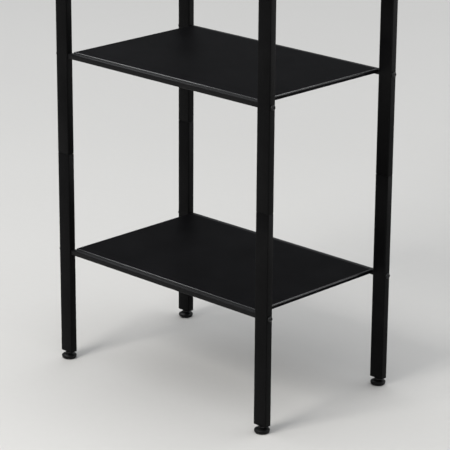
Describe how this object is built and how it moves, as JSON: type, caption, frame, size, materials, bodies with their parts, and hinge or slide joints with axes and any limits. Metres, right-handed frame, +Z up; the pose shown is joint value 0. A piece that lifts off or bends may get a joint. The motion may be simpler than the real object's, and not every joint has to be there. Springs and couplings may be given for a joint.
{
  "type": "storage rack",
  "caption": "Free-standing steel storage rack with sheet shelves bolted between four rectangular posts, standing on screw-in levelling feet.",
  "frame": {"origin": "on the floor, under the middle of the rack's plan", "axes": "+Z up; -Y is the front, the long side with the wide faces of the posts; X along the width"},
  "size_m": [0.5572, 0.354, 1.4168],
  "materials": {
    "powder_coat": "semi-matt black powder coat on steel tube",
    "tray_coat": "fine-textured matt black powder coat on folded steel sheet",
    "black_plastic": "matt black moulded plastic",
    "black_bolt": "black-oxide steel bolt",
    "foot_plastic": "matt black moulded plastic, slightly scuffed",
    "foot_steel": "dark plated threaded steel"
  },
  "bodies": {
    "rack": {"post_lower_front_left": "powder_coat", "post_middle_front_left": "powder_coat", "post_upper_front_left": "powder_coat", "splice_lower_front_left": "black_plastic", "splice_middle_front_left": "black_plastic", "top_cap_front_left": "black_plastic", "post_lower_front_right": "powder_coat", "post_middle_front_right": "powder_coat", "post_upper_front_right": "powder_coat", "splice_lower_front_right": "black_plastic", "splice_middle_front_right": "black_plastic", "top_cap_front_right": "black_plastic", "post_lower_back_right": "powder_coat", "post_middle_back_right": "powder_coat", "post_upper_back_right": "powder_coat", "splice_lower_back_right": "black_plastic", "splice_middle_back_right": "black_plastic", "top_cap_back_right": "black_plastic", "post_lower_back_left": "powder_coat", "post_middle_back_left": "powder_coat", "post_upper_back_left": "powder_coat", "splice_lower_back_left": "black_plastic", "splice_middle_back_left": "black_plastic", "top_cap_back_left": "black_plastic", "shelf_1_rail_front": "powder_coat", "shelf_1_rail_back": "powder_coat", "shelf_1_tray": "tray_coat", "shelf_1_bolt_front_left": "black_bolt", "shelf_1_bolt_front_right": "black_bolt", "shelf_1_bolt_back_right": "black_bolt", "shelf_1_bolt_back_left": "black_bolt", "shelf_2_rail_front": "powder_coat", "shelf_2_rail_back": "powder_coat", "shelf_2_tray": "tray_coat", "shelf_2_bolt_front_left": "black_bolt", "shelf_2_bolt_front_right": "black_bolt", "shelf_2_bolt_back_right": "black_bolt", "shelf_2_bolt_back_left": "black_bolt", "shelf_3_rail_front": "powder_coat", "shelf_3_rail_back": "powder_coat", "shelf_3_tray": "tray_coat", "shelf_3_bolt_front_left": "black_bolt", "shelf_3_bolt_front_right": "black_bolt", "shelf_3_bolt_back_right": "black_bolt", "shelf_3_bolt_back_left": "black_bolt", "shelf_4_rail_front": "powder_coat", "shelf_4_rail_back": "powder_coat", "shelf_4_tray": "tray_coat", "shelf_4_bolt_front_left": "black_bolt", "shelf_4_bolt_front_right": "black_bolt", "shelf_4_bolt_back_right": "black_bolt", "shelf_4_bolt_back_left": "black_bolt"},
    "foot_pad_front_left": {"foot_pad_front_left": "foot_plastic"},
    "foot_stem_front_left": {"foot_stem_front_left": "foot_steel"},
    "foot_pad_front_right": {"foot_pad_front_right": "foot_plastic"},
    "foot_stem_front_right": {"foot_stem_front_right": "foot_steel"},
    "foot_pad_back_right": {"foot_pad_back_right": "foot_plastic"},
    "foot_stem_back_right": {"foot_stem_back_right": "foot_steel"},
    "foot_pad_back_left": {"foot_pad_back_left": "foot_plastic"},
    "foot_stem_back_left": {"foot_stem_back_left": "foot_steel"}
  },
  "joints": [
    {"name": "foot_travel_front_left", "type": "slide", "parent": "rack", "child": "foot_pad_front_left", "axis": [0, 0, -1], "range_m": [-0.00125, 0.00875]},
    {"name": "foot_turn_front_left", "type": "hinge", "parent": "foot_pad_front_left", "child": "foot_stem_front_left", "pos_m": [-0.26, -0.1625, 0.012], "axis": [0, 0, -1], "range_deg": [-362, 2522]},
    {"name": "foot_travel_front_right", "type": "slide", "parent": "rack", "child": "foot_pad_front_right", "axis": [0, 0, -1], "range_m": [-0.00125, 0.00875]},
    {"name": "foot_turn_front_right", "type": "hinge", "parent": "foot_pad_front_right", "child": "foot_stem_front_right", "pos_m": [0.26, -0.1625, 0.012], "axis": [0, 0, -1], "range_deg": [-362, 2522]},
    {"name": "foot_travel_back_right", "type": "slide", "parent": "rack", "child": "foot_pad_back_right", "axis": [0, 0, -1], "range_m": [-0.00125, 0.00875]},
    {"name": "foot_turn_back_right", "type": "hinge", "parent": "foot_pad_back_right", "child": "foot_stem_back_right", "pos_m": [0.26, 0.1625, 0.012], "axis": [0, 0, -1], "range_deg": [-362, 2522]},
    {"name": "foot_travel_back_left", "type": "slide", "parent": "rack", "child": "foot_pad_back_left", "axis": [0, 0, -1], "range_m": [-0.00125, 0.00875]},
    {"name": "foot_turn_back_left", "type": "hinge", "parent": "foot_pad_back_left", "child": "foot_stem_back_left", "pos_m": [-0.26, 0.1625, 0.012], "axis": [0, 0, -1], "range_deg": [-362, 2522]}
  ],
  "couplings": [
    {"joint": "foot_turn_front_left", "follows": "foot_travel_front_left", "rad_per_m": 5026.5},
    {"joint": "foot_turn_front_right", "follows": "foot_travel_front_right", "rad_per_m": 5026.5},
    {"joint": "foot_turn_back_right", "follows": "foot_travel_back_right", "rad_per_m": 5026.5},
    {"joint": "foot_turn_back_left", "follows": "foot_travel_back_left", "rad_per_m": 5026.5}
  ]
}
